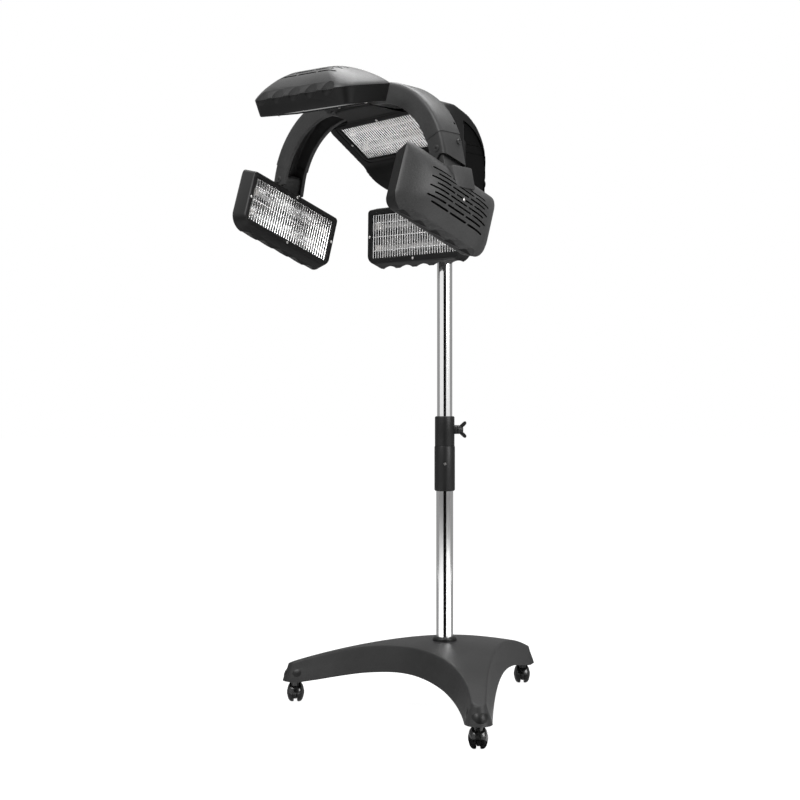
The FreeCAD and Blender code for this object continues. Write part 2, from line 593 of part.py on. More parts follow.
def main():
    os.makedirs("parts", exist_ok=True)
    nodes = {}
    nodes["base_shell"] = base_shell()
    nodes["base_ballast"] = base_ballast()
    nodes["pole_collar"] = pole_collar()
    nodes["foot_screws"] = foot_screws()
    for side, heading in LEG_HEADINGS.items():
        nodes["caster_hood_" + side], nodes["caster_wheels_" + side] = caster_parts(heading)
    nodes["lower_tube"] = lower_tube()
    nodes["upper_tube"] = upper_tube()
    nodes["tube_plug"] = tube_plug()
    nodes["clamp_sleeve_lower"] = clamp_sleeve_lower()
    nodes["clamp_sleeve_upper"] = clamp_sleeve_upper()
    nodes["sleeve_screw"] = sleeve_screw()
    nodes["clamp_knob"] = clamp_knob()
    for name in LAMPS:
        wide = CROWN_W if name == "crown" else GRILLE_W
        rim = wide + FACE_W - GRILLE_W
        nodes["bezel_" + name] = on_lamp(lamp_bezel(wide, rim, name != "crown"), name)
        nodes["grille_" + name] = on_lamp(lamp_grille(wide), name)
        bowl = CROWN_BOWL if name == "crown" else BOWL_DEPTH
        nodes["reflector_" + name] = on_lamp(lamp_reflector(wide, bowl), name)
        nodes["heaters_" + name] = on_lamp(lamp_tubes(wide, bowl), name)
    for name in ("front", "left", "right", "rear"):
        nodes["cover_" + name] = in_unit(lamp_back(name))
        nodes["tilt_pin_" + name] = in_unit(placed(tilt_pin(), neck_place(name)))
    for name in ("left", "right"):
        nodes["arm_" + name] = in_unit(side_arm(name))
        nodes["root_bracket_" + name] = in_unit(placed(root_bracket(), arm_place(name)))
        nodes["root_pin_" + name] = in_unit(placed(root_pin(), arm_place(name)))
    solid = hub_solid(0)
    for name, length, spread in (("front", 27, 0), ("rear", 60, 60)):
        nodes["arm_" + name] = in_unit(largest(short_arm(name, length, spread).cut(solid)))
    upper, lower = hub_halves()
    nodes["hub_upper"], nodes["hub_lower"] = in_unit(upper), in_unit(lower)
    nodes["pole_socket"] = in_unit(pole_socket())
    nodes["control_panel"] = in_unit(control_panel())
    nodes["timer_knob"] = in_unit(timer_knob())
    nodes["power_switch"] = in_unit(power_switch())
    nodes["cable_gland"] = in_unit(cable_gland())
    for name, shape in nodes.items():
        shape.exportStep("parts/" + name + ".step")


main()
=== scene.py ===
import bmesh
import bpy
import math
from mathutils import Matrix, Vector


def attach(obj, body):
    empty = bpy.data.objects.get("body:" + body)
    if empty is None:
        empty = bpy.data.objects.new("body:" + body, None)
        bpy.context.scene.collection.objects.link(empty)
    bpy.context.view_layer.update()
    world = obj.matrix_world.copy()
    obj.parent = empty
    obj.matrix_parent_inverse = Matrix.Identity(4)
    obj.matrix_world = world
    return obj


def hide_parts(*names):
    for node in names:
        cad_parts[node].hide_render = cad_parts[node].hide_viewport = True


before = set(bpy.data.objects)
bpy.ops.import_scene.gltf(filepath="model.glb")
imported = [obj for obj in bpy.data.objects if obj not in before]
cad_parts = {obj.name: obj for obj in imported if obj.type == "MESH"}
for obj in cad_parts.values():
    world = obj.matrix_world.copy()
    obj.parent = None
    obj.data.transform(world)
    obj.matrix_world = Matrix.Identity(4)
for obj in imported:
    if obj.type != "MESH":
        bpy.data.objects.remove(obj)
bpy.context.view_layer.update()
scene = bpy.context.scene
MM = Matrix.Scale(0.001, 4)


# ---- shader writing -----------------------------------------------------------------------
class Wire:
    """A shader socket with the arithmetic operators of a number."""

    def __init__(self, finish, socket):
        self.finish, self.socket = finish, socket

    def math(self, operation, *values):
        return self.finish.node("Math", {"operation": operation}, dict(enumerate(values)))

    def __add__(self, other):
        return self.math("ADD", self, other)

    def __radd__(self, other):
        return self.math("ADD", other, self)

    def __sub__(self, other):
        return self.math("SUBTRACT", self, other)

    def __rsub__(self, other):
        return self.math("SUBTRACT", other, self)

    def __mul__(self, other):
        return self.math("MULTIPLY", self, other)

    def __rmul__(self, other):
        return self.math("MULTIPLY", other, self)

    def __pow__(self, other):
        return self.math("POWER", self, other)

    def clipped(self, low, high):
        return self.finish.node("MapRange", {"clamp": True}, {"Value": self, "From Min": low, "From Max": high})


class Finish:
    """One procedural material and the Principled shader that it ends in."""

    def __init__(self, name, **values):
        self.material = bpy.data.materials.new(name)
        self.material.use_nodes = True
        self.tree = self.material.node_tree
        self.shader = self.tree.nodes["Principled BSDF"]
        self.set(**values)
        place = self.tree.nodes.new("ShaderNodeTexCoord")
        self.place = Wire(self, place.outputs["Object"])

    def node(self, kind, settings, sockets, output=0):
        made = self.tree.nodes.new("ShaderNode" + kind)
        for key, value in settings.items():
            if key == "stops":
                ramp = made.color_ramp
                for index, (position, colour) in enumerate(value):
                    stop = ramp.elements[index] if index < 2 else ramp.elements.new(position)
                    stop.position, stop.color = position, (*colour, 1.0)
            else:
                setattr(made, key, value)
        for key, value in sockets.items():
            self.join(value, made.inputs[key])
        return Wire(self, made.outputs[output])

    def join(self, value, socket):
        if isinstance(value, Wire):
            self.tree.links.new(value.socket, socket)
        else:
            socket.default_value = value

    def set(self, **values):
        for key, value in values.items():
            self.join(value, self.shader.inputs[key.replace("_", " ")])

    def noise(self, scale, detail=2.0, stretch=None):
        at = self.place
        if stretch:
            at = self.node("Mapping", {}, {"Vector": at, "Scale": stretch})
        return self.node("TexNoise", {}, {"Vector": at, "Scale": scale, "Detail": detail})

    def cells(self, scale):
        return self.node("TexVoronoi", {"feature": "SMOOTH_F1"}, {"Vector": self.place, "Scale": scale})

    def ramp(self, factor, *stops):
        return self.node("ValToRGB", {"stops": stops}, {"Fac": factor})

    def blend(self, factor, a, b):
        mix = {"data_type": "RGBA"}
        return self.node("Mix", mix, {0: factor, 6: (*a, 1.0) if isinstance(a, tuple) else a,
                                      7: (*b, 1.0) if isinstance(b, tuple) else b}, output=2)

    def relief(self, height, distance, strength=1.0):
        return self.node("Bump", {}, {"Height": height, "Distance": distance, "Strength": strength})


def grey(value, warm=0.0):
    return (value * (1 + warm), value, value * (1 - warm))


def moulded(name, dark, light, roughness, grain, depth, gloss=0.22):
    """Spark-textured moulded plastic: fine grain, faint sink marks and handling sheen."""
    f = Finish(name, IOR=1.46, Specular_IOR_Level=gloss)
    fine, pits, broad = f.noise(grain, 3.0), f.cells(grain * 0.55), f.noise(9.0, 3.0)
    tone = fine * 0.35 + broad * 0.65
    f.set(Base_Color=f.ramp(tone, (0.3, dark), (0.7, light)),
          Roughness=(roughness - 0.06) + broad * 0.12 + (1 - pits) * 0.03,
          Normal=f.relief(fine * 0.6 + pits * 0.4, depth))
    return f.material


def gloss_black(name, tint, roughness):
    """Polished black plastic with faint swirl marks and settled dust."""
    f = Finish(name, IOR=1.5)
    dust, swirl = f.noise(160.0, 4.0), f.noise(40.0, 2.0, (1.0, 1.0, 5.0))
    f.set(Base_Color=f.ramp(dust, (0.45, tint), (0.85, tuple(c + 0.02 for c in tint))),
          Roughness=roughness + swirl * 0.08 + dust.clipped(0.6, 0.9) * 0.1,
          Normal=f.relief(f.noise(30.0), 0.0002))
    return f.material


def bright_metal(name, dark, light, roughness, brushed=None, depth=0.00002, blotch=14.0, spread=0.2):
    """Plated or polished metal, brushed along the axis with the smallest scale."""
    f = Finish(name, Metallic=1.0)
    streak = f.noise(300.0, 2.0, brushed) if brushed else f.noise(120.0, 3.0)
    # A slow noise: real haze on plated metal; where the two tones lie far apart, as on the reflector, it paints
    # patches of shade.
    haze_and_painted_shade = f.noise(blotch, 3.0)
    f.set(Base_Color=f.ramp(streak * 0.5 + haze_and_painted_shade * 0.5, (0.5 - spread, dark), (0.5 + spread, light)),
          Roughness=roughness + haze_and_painted_shade * 0.05 + streak * 0.04, Normal=f.relief(streak, depth))
    return f.material


charcoal = moulded("charcoal_moulding", grey(0.003), grey(0.006), 0.42, 1500.0, 0.00007)
foot_charcoal = moulded("foot_moulding", grey(0.015), grey(0.026), 0.42, 520.0, 0.00026)
# Painted shade: the head body's moulding is a darker copy of the same plastic, standing in for the shade it lies in.
hub_shaded_charcoal = moulded("hub_shaded_moulding", grey(0.004), grey(0.009), 0.42, 700.0, 0.00016, 0.16)
# Painted light: the back covers' and side arms' moulding is a lighter copy of the same plastic, standing in for the
# light falling on them.
cover_lit_charcoal = moulded("cover_lit_moulding", grey(0.020), grey(0.042), 0.40, 420.0, 0.00034)
# Painted shade: a near-black moulding with little shine, put in the vent slots, the arms' pin holes, the head body's
# recessed side panels and on the base ballast, standing in for the shade inside them.
painted_shade_black = moulded("painted_shade_moulding", grey(0.0015), grey(0.003), 0.6, 1100.0, 0.00008, 0.06)
satin_black = moulded("satin_fitting", grey(0.007), grey(0.012), 0.36, 2200.0, 0.00003)
toe_black = moulded("toe_moulding", grey(0.006), grey(0.010), 0.34, 1400.0, 0.00005)
caster_black = gloss_black("caster_gloss", grey(0.006), 0.14)
chrome = bright_metal("chrome_plate", grey(0.78), grey(0.84), 0.045, (1.0, 1.0, 0.02), 0.000002)
guard_steel = bright_metal("guard_wire", grey(0.84), grey(0.92), 0.14)
# Painted shade: the reflector's base colour breaks into near-black and bright patches, standing in for shade and dark
# reflections in the troughs.
mirror_sheet_painted_shade = bright_metal("reflector_sheet", grey(0.10), grey(0.80), 0.07, (1.0, 1.0, 0.05), 0.00001,
                            blotch=48.0, spread=0.07)
zinc = bright_metal("zinc_plate", grey(0.50, 0.02), grey(0.66, 0.02), 0.28)


def make_quartz():
    """Frosty quartz tube with a faint drawn-glass streak."""
    f = Finish("quartz_tube", IOR=1.46, Transmission_Weight=0.55)
    streak, bloom = f.noise(90.0, 2.0), f.noise(300.0, 3.0)
    f.set(Base_Color=f.ramp(streak, (0.2, grey(0.78, 0.01)), (0.8, grey(0.92, 0.01))),
          Roughness=0.10 + bloom * 0.16, Normal=f.relief(bloom, 0.00003))
    return f.material


def make_ceramic():
    """Unglazed steatite end cap."""
    f = Finish("ceramic_end", IOR=1.5)
    speck, cloud = f.cells(900.0), f.noise(60.0)
    f.set(Base_Color=f.ramp(speck * 0.4 + cloud * 0.6, (0.2, grey(0.56, 0.05)), (0.8, grey(0.72, 0.05))),
          Roughness=0.55 + speck * 0.2, Normal=f.relief(speck, 0.0001))
    return f.material


def make_filament():
    """Coiled resistance wire, dark with oxide."""
    f = Finish("filament_wire", Metallic=0.8)
    coil = f.noise(900.0, 1.0)
    f.set(Base_Color=f.ramp(coil, (0.3, (0.10, 0.07, 0.05)), (0.7, (0.26, 0.20, 0.15))),
          Roughness=0.4 + coil * 0.2)
    return f.material


quartz, ceramic, filament = make_quartz(), make_ceramic(), make_filament()


# ---- places: the head unit and its lamps, in millimetres -------------------------------------
UNIT = Matrix.Rotation(math.radians(225), 4, "Z")
LAMPS = {"front": (402, 38, 1272, 194.6, -76.6, 9.5), "left": (272, -204, 1090, 90, 4, -19),
         "right": (264, 215, 1077, -90, -1, 19), "rear": (108, 6, 1057, 9, 1, 0),
         "crown": (166, 0, 1257, 0, -58, 0)}
NECKS = {"front": (-20, 38, 100), "rear": (-36, 44, 100)}
ARM_X, ARM_BEND, ARM_TOP, ARM_LEAN, ROOT_Y, ROOT_R = 251, 176, 1319, 13, 68, 22
ARM_W, ARM_T, NECK_T, SLEEVE_END = 62, 44, 22, 74
FACE_H, OPEN_W, OPEN_H, BAND, FLARE = 120, 226, 96, 32, 9


def at(x=0.0, y=0.0, z=0.0):
    return Matrix.Translation((x, y, z))


def turn(degrees, axis):
    return Matrix.Rotation(math.radians(degrees), 4, axis)


def lamp_place(name):
    """Lamp frame to head unit frame: x out of the face, z towards the neck."""
    x, y, z, heading, pitch, roll = LAMPS[name]
    return at(x, y, z) @ turn(heading, "Z") @ turn(-pitch, "Y") @ turn(roll, "X")


def arm_place(name):
    """Side arm frame to head unit frame: origin in the middle of the arch, x inwards."""
    side = -1 if name == "left" else 1
    return at(ARM_X, side * ROOT_Y, ARM_TOP - ARM_BEND) @ turn(-90 * side, "Z")


def neck_place(name):
    """Neck frame to head unit frame: origin on the tilt pin, z up the neck, x to the client."""
    if name in NECKS:
        x, _, rise = NECKS[name]
        return lamp_place(name) @ at(x, 0, rise)
    return arm_place(name) @ turn(ARM_LEAN, "Y") @ at(-ARM_BEND)


def on_lamp(name):
    return UNIT @ lamp_place(name)


# ---- mesh helpers -------------------------------------------------------------------------
def move(bm, matrix, verts=None):
    bmesh.ops.transform(bm, matrix=matrix, verts=verts or bm.verts)


def set_section(ring, width, height, radius, x, upper=None):
    """Place a ring of vertices on a rounded rectangle across x; its upper corners may be sharper."""
    for i, v in enumerate(ring):
        angle = (2 * i + 1) * math.pi / len(ring)
        y, z = math.cos(angle), math.sin(angle)
        r = radius if z < 0 or upper is None else upper
        reach = r / math.cos(math.pi / len(ring))
        v.co = (x, math.copysign(width / 2 - r, y) + reach * y, math.copysign(height / 2 - r, z) + reach * z)


def shell_of(sections, closed=False, steps=5):
    """Form extruded ring by ring through rounded-rectangle sections (width, height, radius, x)."""
    bm = bmesh.new()
    ring = bmesh.ops.create_circle(bm, segments=4 * (steps + 1), radius=1.0)["verts"]
    set_section(ring, *sections[0])
    edges = bm.edges[:]
    if not closed:
        bmesh.ops.contextual_create(bm, geom=edges)
    for section in sections[1:] + sections[:1] * closed:
        grown = bmesh.ops.extrude_edge_only(bm, edges=edges)["geom"]
        edges = [g for g in grown if isinstance(g, bmesh.types.BMEdge)]
        fresh = {v for e in edges for v in e.verts}
        ring = [next(e.other_vert(v) for e in v.link_edges if e.other_vert(v) in fresh) for v in ring]
        set_section(ring, *section)
    if closed:
        bmesh.ops.remove_doubles(bm, verts=bm.verts, dist=0.0005)
    else:
        bmesh.ops.contextual_create(bm, geom=edges)
    bmesh.ops.recalc_face_normals(bm, faces=bm.faces)
    return bm


def skin(bm, loops):
    """Bridge loops in turn."""
    for a, b in zip(loops, loops[1:]):
        bmesh.ops.bridge_loops(bm, edges=a + b)


def lathe(points, steps=64, axis="Z"):
    """Full spin of a closed outline of (radius, height) points."""
    bm = bmesh.new()
    verts = [bm.verts.new((r, 0, z)) for r, z in points]
    edges = [bm.edges.new((a, b)) for a, b in zip(verts, verts[1:] + verts[:1])]
    bmesh.ops.spin(bm, geom=verts + edges, cent=(0, 0, 0), axis=(0, 0, 1), angle=math.tau, steps=steps,
                   use_merge=True)
    bmesh.ops.remove_doubles(bm, verts=bm.verts, dist=0.001)
    bmesh.ops.dissolve_degenerate(bm, edges=bm.edges, dist=0.0005)
    bmesh.ops.recalc_face_normals(bm, faces=bm.faces)
    if axis == "X":
        move(bm, turn(90, "Y"))
    return bm


def rod(radius, start, end, steps=12, tip=None):
    bm = bmesh.new()
    run = Vector(end) - Vector(start)
    turned = run.to_track_quat("Z", "Y").to_matrix().to_4x4()
    bmesh.ops.create_cone(bm, cap_ends=True, segments=steps, radius1=radius,
                          radius2=radius if tip is None else tip, depth=run.length,
                          matrix=at(*((Vector(start) + Vector(end)) / 2)) @ turned)
    return bm


def block(x0, x1, y0, y1, z0, z1, bevel=0.0, steps=2):
    bm = bmesh.new()
    bmesh.ops.create_cube(bm, size=1.0, matrix=at((x0 + x1) / 2, (y0 + y1) / 2, (z0 + z1) / 2)
                          @ Matrix.Diagonal((x1 - x0, y1 - y0, z1 - z0, 1)))
    if bevel:
        bmesh.ops.bevel(bm, geom=bm.edges[:], offset=bevel, segments=steps, affect="EDGES", profile=0.5,
                        material=-1)
    return bm


def plate(points, low, high, axis="Z"):
    """A flat outline pushed along an axis."""
    lift = {"Z": lambda a, b: (a, b, low), "Y": lambda a, b: (a, low, b), "X": lambda a, b: (low, a, b)}[axis]
    push = Vector({"Z": (0, 0, 1), "Y": (0, 1, 0), "X": (1, 0, 0)}[axis]) * (high - low)
    bm = bmesh.new()
    face = bm.faces.new([bm.verts.new(lift(a, b)) for a, b in points])
    grown = bmesh.ops.extrude_face_region(bm, geom=[face])["geom"]
    bmesh.ops.translate(bm, vec=push, verts=[g for g in grown if isinstance(g, bmesh.types.BMVert)])
    bmesh.ops.recalc_face_normals(bm, faces=bm.faces)
    return bm


def rounded(bm, offset, angle=35, steps=2, pick=None):
    """Bevel the edges sharper than an angle."""
    edges = [e for e in bm.edges if len(e.link_faces) == 2 and e.calc_face_angle(0) > math.radians(angle)
             and (pick is None or pick(e))]
    bmesh.ops.bevel(bm, geom=edges, offset=offset, segments=steps, affect="EDGES", profile=0.5, material=-1,
                    clamp_overlap=True)
    return bm


def join(*parts):
    """Several closed forms in one mesh; the first keeps its own faces."""
    whole = bmesh.new()
    for part in parts:
        mesh = bpy.data.meshes.new("part")
        part.to_mesh(mesh)
        part.free()
        whole.from_mesh(mesh)
        bpy.data.meshes.remove(mesh)
    return whole


def tint(bm, index):
    for face in bm.faces:
        face.material_index = index
    return bm


def carved(bm, *tools, operation="DIFFERENCE"):
    """The form with each tool's volume cut away."""
    pair = []
    for shape in (bm, join(*tools)):
        mesh = bpy.data.meshes.new("cut")
        shape.to_mesh(mesh)
        for _ in range(2):
            mesh.materials.append(None)
        shape.free()
        made = bpy.data.objects.new("cut", mesh)
        scene.collection.objects.link(made)
        pair.append(made)
    body, cutter = pair
    modifier = body.modifiers.new("cut", "BOOLEAN")
    modifier.operation, modifier.solver, modifier.object = operation, "EXACT", cutter
    modifier.use_self = True
    bpy.context.view_layer.update()
    mesh = bpy.data.meshes.new_from_object(body.evaluated_get(bpy.context.evaluated_depsgraph_get()))
    out = bmesh.new()
    out.from_mesh(mesh)
    for made in pair:
        old = made.data
        bpy.data.objects.remove(made)
        bpy.data.meshes.remove(old)
    bpy.data.meshes.remove(mesh)
    return out


def softened(bm, voxel, passes):
    """One even skin over a form, its edges rubbed round."""
    mesh = bpy.data.meshes.new("rough")
    bm.to_mesh(mesh)
    bm.free()
    made = bpy.data.objects.new("rough", mesh)
    scene.collection.objects.link(made)
    even = made.modifiers.new("even", "REMESH")
    even.mode, even.voxel_size = "VOXEL", voxel
    rub = made.modifiers.new("rub", "SMOOTH")
    rub.factor, rub.iterations = 0.5, passes
    bpy.context.view_layer.update()
    skinned = bpy.data.meshes.new_from_object(made.evaluated_get(bpy.context.evaluated_depsgraph_get()))
    out = bmesh.new()
    out.from_mesh(skinned)
    bpy.data.objects.remove(made)
    bpy.data.meshes.remove(mesh)
    bpy.data.meshes.remove(skinned)
    return out


def bow(a, b, c, steps):
    """Points of the arc from a through b to c."""
    (ax, ay), (bx, by), (cx, cy) = a, b, c
    d = 2 * (ax * (by - cy) + bx * (cy - ay) + cx * (ay - by))
    sa, sb, sc = ax * ax + ay * ay, bx * bx + by * by, cx * cx + cy * cy
    x = (sa * (by - cy) + sb * (cy - ay) + sc * (ay - by)) / d
    y = (sa * (cx - bx) + sb * (ax - cx) + sc * (bx - ax)) / d
    start = math.atan2(ay - y, ax - x)
    sweep = (math.atan2(cy - y, cx - x) - start) % math.tau
    if (math.atan2(by - y, bx - x) - start) % math.tau > sweep:
        sweep -= math.tau
    r = math.hypot(ax - x, ay - y)
    return [(x + r * math.cos(start + sweep * i / steps), y + r * math.sin(start + sweep * i / steps))
            for i in range(steps + 1)]


def piece(name, bm, materials, body, place=None, nodes=(), smooth=32):
    """Put a millimetre form in place as a piece of the object."""
    if place is not None:
        move(bm, place)
    move(bm, MM)
    mesh = bpy.data.meshes.new(name)
    bm.to_mesh(mesh)
    bm.free()
    for material in materials if isinstance(materials, (list, tuple)) else [materials]:
        mesh.materials.append(material)
    mesh.shade_smooth()
    mesh.set_sharp_from_angle(angle=math.radians(smooth))
    made = bpy.data.objects.new(name, mesh)
    scene.collection.objects.link(made)
    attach(made, body)
    if nodes:
        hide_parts(*nodes)
    return made


def screw_head(radius, place):
    """Pan head with a cross recess, facing +X."""
    head = lathe([(0, 0), (radius, 0), (radius, 0.5), (radius * 0.75, 1.2), (radius * 0.3, 1.5), (0, 1.55)],
                 20, "X")
    arm = radius * 0.6
    cross = [block(0.7, 3, -0.45, 0.45, -arm, arm), block(0.7, 3, -arm, arm, -0.45, 0.45)]
    head = carved(head, *cross)
    move(head, place)
    return head


# ---- lamps --------------------------------------------------------------------------------
def flute_tools():
    """Slanting gills scooped into the outer long side of a lamp, over band and cover."""
    tools = []
    for y in (-90, -45, 0, 45, 90):
        tool = bmesh.new()
        bmesh.ops.create_uvsphere(tool, u_segments=32, v_segments=18, radius=1.0,
                                  matrix=at(-38, y, -FACE_H / 2 - 15.3) @ turn(32, "Z") @ turn(6, "Y")
                                  @ turn(26, "X") @ Matrix.Diagonal((46, 18, 12.5, 1)))
        tools.append(tool)
    return tools


def neck_form(name):
    """Flat neck and knuckle of a lamp, drawn in the neck's frame."""
    reach, half, t = {"front": 38, "rear": 38, "left": 38, "right": 50}[name], ARM_W / 2 - 5.5, NECK_T / 2
    x0, x1, top = {"front": (-t - 15, t, -27), "rear": (-t, t, -27)}.get(name, (-33, 14, -45))
    low = -reach if name in NECKS else -90
    foot = block(x0, x1, -half - 2, half + 2, low, top, 2.5)
    knuckle = rounded(rod(t, (0, -half, 0), (0, half, 0), 36), 1, 60)
    return join(block(-t, t, -half, half, -reach, 0, 1.2), foot, knuckle)


def cover_form(name):
    """Domed back cover with its vent slots and neck."""
    dome = shell_of([(264, 136, 33, -BAND - 0.3, 9), (266, 138, 34, -BAND - 1.2, 10), (264, 136.5, 35, -36, 13),
                     (257, 131, 37, -41, 18), (245, 122, 38, -47.5, 23), (228, 110, 38, -54.5, 27),
                     (206, 95, 36, -61.5, 29), (180, 77, 31, -68, 28), (152, 60, 26, -73, 24),
                     (126, 46, 21, -76.2, 20), (104, 36, 16, -77.9, 16)],
                    steps=7)
    slots = []
    for row in range(8):
        z, slip = 9.4 * row - 35, 7.0 if row % 2 else -7.0
        for y in (-53, 0, 53):
            # Each slot's walls take the second slot: painted shade black inside the slot.
            slots.append(tint(block(-90, -57, y + slip - 24, y + slip + 24, z - 1.7, z + 1.7, 1.5), 1))
    dome = carved(dome, *flute_tools())
    neck = neck_form(name)
    move(neck, lamp_place(name).inverted() @ neck_place(name))
    return join(carved(dome, *slots), neck)


def bezel_form(open_w, rim_w, flare, depth, fluted):
    """Thin-walled front band with a rolled rim and a stepped lip."""
    f = 2 * flare
    back_w, back_h = rim_w + f, FACE_H + f
    low, up = (33, 9) if fluted else (14, 14)
    band = shell_of([(back_w - 1, back_h - 1, low, -depth, up),
                     (back_w - 0.1 * f, back_h - 0.1 * f, low, 1.0 - depth, up),
                     (rim_w + 2.2, FACE_H + 2.2, 21, -4, up), (rim_w + 0.6, FACE_H + 0.6, 20, -1.6, up - 1),
                     (rim_w - 1.6, FACE_H - 1.6, 19, -0.3, up - 2), (rim_w - 4, FACE_H - 4, 18, 0, up - 3),
                     (open_w + 6, OPEN_H + 6, 8, 0, 5), (open_w + 4.6, OPEN_H + 4.6, 7, -0.5, 4.5),
                     (open_w + 4, OPEN_H + 4, 7, -2, 4), (open_w, OPEN_H, 5, -2.3, 3),
                     (open_w, OPEN_H, 5, -3.2, 3), (rim_w - 14, FACE_H - 15, 12, -3.6, up - 4),
                     (rim_w - 14, FACE_H - 15, 12, -depth, up - 4)],
                    closed=True, steps=6)
    return carved(band, *flute_tools()) if fluted else band


def grille_form(open_w):
    """Upright wires welded over three long ones, in a wire frame."""
    w, h = open_w / 2 + 1.5, OPEN_H / 2 + 1.5
    parts = []
    parts.append(shell_of([(2 * (w + dy), 2 * (h + dy), 5 + dy, -4.6 + dx) for dx, dy in
                           ((1.4, 0), (1, 1), (0, 1.4), (-1, 1), (-1.4, 0), (-1, -1), (0, -1.4), (1, -1))], True, 4))
    count = round(open_w / 6.6)
    for i in range(count):
        y = (i + 0.5) * open_w / count - open_w / 2
        parts.append(rod(1.15, (-3.6, y, -h), (-3.6, y, h), 8))
    for z in (-31, 0, 31):
        parts.append(rod(1.2, (-5.6, -w, z), (-5.6, w, z), 8))
    return join(*parts)


def reflector_form(open_w, depth):
    """Two bright troughs side by side, one behind each tube, closed by end plates."""
    half = open_w / 2 - 1
    scale = (depth - 8) / 22
    front = []
    for middle in (-24, 24):
        for i in range(9):
            a = math.pi * i / 8
            front.append((-6 - 1.2 - scale * 21 * math.sin(a), middle - 23.4 * math.cos(a)))
    front = [(-6, -50.5)] + front + [(-6, 50.5)]
    back = [(x - 0.7, z * 1.006) for x, z in front]
    sheet = plate([(x, z) for x, z in front + back[::-1]], -half, half, "Y")
    ends = [plate(front, side * half - 0.4, side * half + 0.4, "Y") for side in (-1, 1)]
    ribs = [rod(1.2, (-7.5 - scale * 21, y, m - 8), (-7.5 - scale * 21, y, m + 8), 8)
            for y in range(int(-half) + 20, int(half) - 10, 22) for m in (-24, 24)]
    return join(sheet, *ends, *ribs)


def heater_form(open_w, depth):
    """Quartz tubes in ceramic caps, each with its coil."""
    half, x, r = open_w / 2 - 15, -4 - depth * 0.5, 2 + depth * 0.1
    parts = []
    for z in (-24, 24):
        parts.append(tint(rod(r, (x, -half, z), (x, half, z), 20), 0))
        coil = bmesh.new()
        ring = bmesh.ops.create_circle(coil, segments=5, radius=0.35,
                                       matrix=at(x + 0.45 * r, -half + 8, z) @ turn(90, "X"))
        edges = list(coil.edges)
        turns = 30
        bmesh.ops.spin(coil, geom=ring["verts"] + edges, cent=(x, 0, z), axis=(0, 1, 0), angle=math.tau * turns,
                       dvec=(0, (2 * half - 16) / (turns * 10), 0), steps=turns * 10)
        bmesh.ops.holes_fill(coil, edges=coil.edges, sides=6)
        bmesh.ops.recalc_face_normals(coil, faces=coil.faces)
        parts.append(tint(coil, 1))
        for side in (-1, 1):
            y0, y1 = sorted((side * (half - 1), side * (half + 13)))
            parts.append(tint(block(1.5 - depth, x + r + 0.8, y0, y1, z - r - 2, z + r + 2, 1.2), 2))
            parts.append(tint(rod(r + 1, (x, side * (half - 4), z), (x, side * (half - 1), z), 20), 2))
    return join(*parts)


for name in LAMPS:
    crown = name == "crown"
    wide = 238 if crown else OPEN_W
    rim, depth, bowl = wide + 22, 18 if crown else BAND, 18 if crown else 30
    body = "head" if crown else "lamp_" + name
    place = on_lamp(name)
    piece("band_" + name, bezel_form(wide, rim, 0 if crown else FLARE, depth, not crown), charcoal, body,
          place, ["bezel_" + name])
    piece("guard_" + name, grille_form(wide), guard_steel, body, place, ["grille_" + name])
    piece("trough_" + name, reflector_form(wide, bowl), mirror_sheet_painted_shade, body, place,
          ["reflector_" + name])
    piece("quartz_" + name, heater_form(wide, bowl), [quartz, filament, ceramic], body, place,
          ["heaters_" + name])
    heads = [screw_head(3.0, at(-0.2, y, z)) for y, z in
             ((0, 54.5), (0, -54.5), (wide / 2 + 5.5, 0), (-wide / 2 - 5.5, 0))]
    piece("band_screws_" + name, join(*heads), zinc, body, place)
    if not crown:
        piece("back_" + name, cover_form(name), [cover_lit_charcoal, painted_shade_black], body,
              place, ["cover_" + name])
        piece("back_screw_" + name, screw_head(2.9, at(-77.6, -5, 2) @ turn(180, "Z")), zinc, body,
              place)


# ---- side arms ----------------------------------------------------------------------------
def channel(inset, z):
    """Outline of an arm: a channel open to the client, with returned lips and a middle rib."""
    w, t = ARM_W / 2 - inset, ARM_T / 2 - inset
    wall, lip = 3.5 - inset, 8.5 - inset
    half = [(-t, 0), (-t, w - 9), (1 - t, w - 4.5), (3 - t, w - 1.8), (6.5 - t, w - 0.3), (10 - t, w),
            (t - 2, w), (t - 0.6, w - 0.6), (t, w - 2), (t, w - lip), (t - 1.5, w - lip - 1),
            (t - wall - 1, w - lip), (t - wall - 1, w - wall),
            (wall + 1.5 - t, w - wall), (wall - t, w - wall - 1.5), (wall - t, 9), (wall + 9 - t, 8.4),
            (wall + 9 - t, 6.4), (wall - t, 5.8)]
    rest = [(x, -y) for x, y in reversed(half) if y != 0]
    return [(x, y, z) for x, y in half + rest]


def swept(points, *runs):
    """Push and turn an outline: (vector) pushes it, (centre, degrees, steps) turns it about Y."""
    bm = bmesh.new()
    verts = [bm.verts.new(p) for p in points]
    last = [bm.edges.new((a, b)) for a, b in zip(verts, verts[1:] + verts[:1])]
    bmesh.ops.contextual_create(bm, geom=last)
    for run in runs:
        if len(run) == 2:
            vec, steps = run
            for _ in range(steps):
                grown = bmesh.ops.extrude_edge_only(bm, edges=last)["geom"]
                last = [g for g in grown if isinstance(g, bmesh.types.BMEdge)]
                ends = {v for e in last for v in e.verts}
                bmesh.ops.translate(bm, vec=Vector(vec) / steps, verts=list(ends))
        else:
            centre, degrees, steps = run
            ends = {v for e in last for v in e.verts}
            grown = bmesh.ops.spin(bm, geom=list(ends) + last, cent=centre, axis=(0, 1, 0),
                                   angle=math.radians(degrees), steps=steps)["geom_last"]
            last = [g for g in grown if isinstance(g, bmesh.types.BMEdge)]
    bmesh.ops.contextual_create(bm, geom=last)
    bmesh.ops.remove_doubles(bm, verts=bm.verts, dist=0.001)
    bmesh.ops.recalc_face_normals(bm, faces=bm.faces)
    return bm


